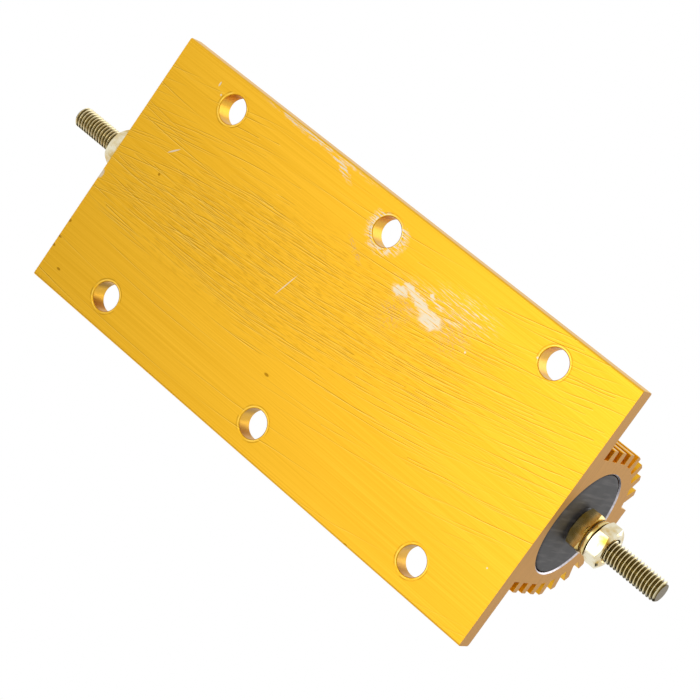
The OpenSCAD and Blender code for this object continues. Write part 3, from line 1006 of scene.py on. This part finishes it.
class ResistorElement(bpy.types.Operator):
    """Winds the resistance wire and finishes the core, its caps and the cement"""
    bl_idname = "resistor.element"
    bl_label = "Resistance element"

    def execute(self, context):
        s = look("element")
        cap = plain_metal("pressed_steel_cap", s.cap, s.cap_shade, 0.3, 500.0)
        for node, material in (("ceramic_core", fired_ceramic()), ("cement_filling", cast_cement()),
                               ("end_cap_left", cap), ("end_cap_right", cap)):
            for slot in frame["nodes"][node].material_slots:
                slot.material = material
        wire = plain_metal("drawn_resistance_wire", s.wire, s.wire_shade, 0.35, 900.0)
        low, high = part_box("resistance_winding")
        core_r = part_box("ceramic_core")[1].y
        mesh = grown(winding_tree(), {
            "Start": low.x + s.wire_d, "Length": high.x - low.x - 2 * s.wire_d,
            "Core radius": core_r, "Wire radius": s.wire_d / 2, "Pitch": s.wire_pitch,
            "Axis height": BORE_Z, "Steps": s.turn_points, "Material": wire}, "wire")
        bm = bmesh.new()
        bm.from_mesh(mesh)
        piece = new_piece("wound_wire", finish_mesh(bm, "wound_wire", smooth_below=70), (wire,))
        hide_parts("resistance_winding")
        return {"FINISHED"}


# --- Stage ---

class ResistorStage(bpy.types.Operator):
    """Sets the floor, the lamps, the world and the camera"""
    bl_idname = "resistor.stage"
    bl_label = "Stage"

    def execute(self, context):
        self.floor()
        self.world()
        self.lamps()
        self.camera()
        context.scene.view_settings.view_transform = "Standard"
        return {"FINISHED"}

    def floor(self):
        """A pale floor that the camera sees from above and looks through from below."""
        half = 4.0
        drop = 0.2 * MM
        mesh = bpy.data.meshes.new("floor")
        corners = [(-half, -half, -drop), (half, -half, -drop), (half, half, -drop),
                   (-half, half, -drop)]
        mesh.from_pydata(corners, [], [(0, 1, 2, 3)])
        piece = bpy.data.objects.new("floor", mesh)
        bpy.context.scene.collection.objects.link(piece)
        material, tree, shader, _ = new_material("pale_paper_floor")
        plug(tree, shader, {"Base Color": rgba(look("stage").floor), "Roughness": 0.9})
        rays = add(tree, "ShaderNodeLightPath")
        back = add(tree, "ShaderNodeNewGeometry").outputs["Backfacing"]
        front = add(tree, MATH, {0: 1.0, 1: back}, operation="SUBTRACT")
        seen = add(tree, MATH, {0: rays.outputs["Is Camera Ray"],
                                            1: front}, operation="MULTIPLY")
        clear = add(tree, "ShaderNodeBsdfTransparent")
        mixed = add(tree, "ShaderNodeMixShader", {0: seen, 1: clear,
                                                  2: shader})
        out = next(n for n in tree.nodes if n.type == "OUTPUT_MATERIAL")
        tree.links.new(mixed.outputs[0], out.inputs["Surface"])
        mesh.materials.append(material)

    def world(self):
        world = bpy.data.worlds.new("studio")
        bpy.context.scene.world = world
        world.use_nodes = True
        tree = world.node_tree
        tree.nodes.clear()
        rays = add(tree, "ShaderNodeLightPath").outputs
        seen = add(tree, MATH, {0: rays["Is Camera Ray"], 1: rays["Is Glossy Ray"]},
                   operation="MAXIMUM")
        seen = add(tree, MATH, {0: seen, 1: rays["Is Transmission Ray"]},
                   operation="MAXIMUM")
        level = add(tree, RANGE, {"Value": seen, "To Min": 0.6,
                                                 "To Max": 1.0})
        glow = add(tree, "ShaderNodeBackground", {"Color": (1.0, 1.0, 1.0, 1.0),
                                                  "Strength": level})
        add(tree, "ShaderNodeOutputWorld", {"Surface": glow})

    def lamps(self):
        """Two softboxes, one above and one below, and dark cards that give the metal parts
        something dark to mirror."""
        for name, direction, away, size, radiance in (
                ("softbox_above", (0.4, -0.5, 0.8), 1.0, 0.8, 1.2),
                ("softbox_below", (-0.02, -0.08, -0.97), 0.9, 0.75, 2.0)):
            lamp = bpy.data.lights.new(name, "AREA")
            lamp.shape = "DISK"
            lamp.size = size
            lamp.energy = radiance * math.pi * math.pi * size * size / 4
            holder = bpy.data.objects.new(name, lamp)
            bpy.context.scene.collection.objects.link(holder)
            spot = Vector(direction).normalized() * away
            holder.location = spot
            holder.rotation_euler = spot.to_track_quat("Z", "Y").to_euler()
        card_grey = (0.02, 0.02, 0.02, 1.0)
        material, tree, shader, _ = new_material("black_card")
        plug(tree, shader, {"Base Color": card_grey, "Roughness": 0.9})
        for name, direction, away, half in (
                ("card_behind_camera", (0.46, -0.2, -0.87), 0.8, 0.28),
                ("card_beyond_left", (-0.82, 0.42, -0.4), 0.8, 0.3),
                ("card_above", (0.3, 0.75, 0.6), 0.8, 0.3)):
            centre = Vector(direction).normalized() * away
            facing = centre.to_track_quat("Z", "Y").to_matrix()
            corners = [centre + facing @ Vector((x * half, y * half, 0.0))
                       for x, y in ((-1, -1), (1, -1), (1, 1), (-1, 1))]
            mesh = bpy.data.meshes.new(name)
            mesh.from_pydata(corners, [], [(0, 1, 2, 3)])
            mesh.materials.append(material)
            card = bpy.data.objects.new(name, mesh)
            bpy.context.scene.collection.objects.link(card)
            card.visible_camera = card.visible_diffuse = card.visible_shadow = False

    def camera(self):
        s = look("stage")
        data = bpy.data.cameras.new("camera")
        data.lens = s.lens
        data.clip_start = 0.01
        piece = bpy.data.objects.new("camera", data)
        bpy.context.scene.collection.objects.link(piece)
        back = Vector((math.sin(s.azimuth) * math.cos(s.elevation),
                       -math.cos(s.azimuth) * math.cos(s.elevation), math.sin(s.elevation)))
        across = Vector((0, 0, 1)).cross(back).normalized()
        level = Matrix((across, back.cross(across), back)).transposed()
        turned = level.to_4x4() @ Matrix.Rotation(s.roll, 4, "Z")
        piece.matrix_world = Matrix.Translation(Vector(s.aim) + back * s.distance) @ turned
        bpy.context.scene.camera = piece


# --- Panel and main ---

OPERATORS = (ResistorHousing, ResistorStuds, ResistorNuts, ResistorWashers, ResistorSeals,
             ResistorElement, ResistorStage)


class ResistorPanel(bpy.types.Panel):
    """Lists the settings and the pieces"""
    bl_idname = "VIEW3D_PT_resistor"
    bl_label = "Housed power resistor"
    bl_space_type = "VIEW_3D"
    bl_region_type = "UI"
    bl_category = "Resistor"

    def draw(self, context):
        for operator in OPERATORS:
            self.layout.operator(operator.bl_idname)
        for name, group in GROUPS.items():
            box = self.layout.box()
            box.label(text=name.capitalize())
            for setting in group.__annotations__:
                box.prop(look(name), setting)


def register():
    for group in GROUPS.values():
        bpy.utils.register_class(group)
    for cls in (*OPERATORS, ResistorPanel):
        bpy.utils.register_class(cls)
    for name, group in GROUPS.items():
        setattr(bpy.types.Scene, "resistor_" + name, PointerProperty(type=group))


def unregister():
    for name in GROUPS:
        delattr(bpy.types.Scene, "resistor_" + name)
    for cls in (ResistorPanel, *reversed(OPERATORS), *reversed(GROUPS.values())):
        bpy.utils.unregister_class(cls)


def main():
    register()
    for operator in OPERATORS:
        getattr(bpy.ops.resistor, operator.bl_idname.split(".")[1])()


if __name__ == "__main__":
    main()
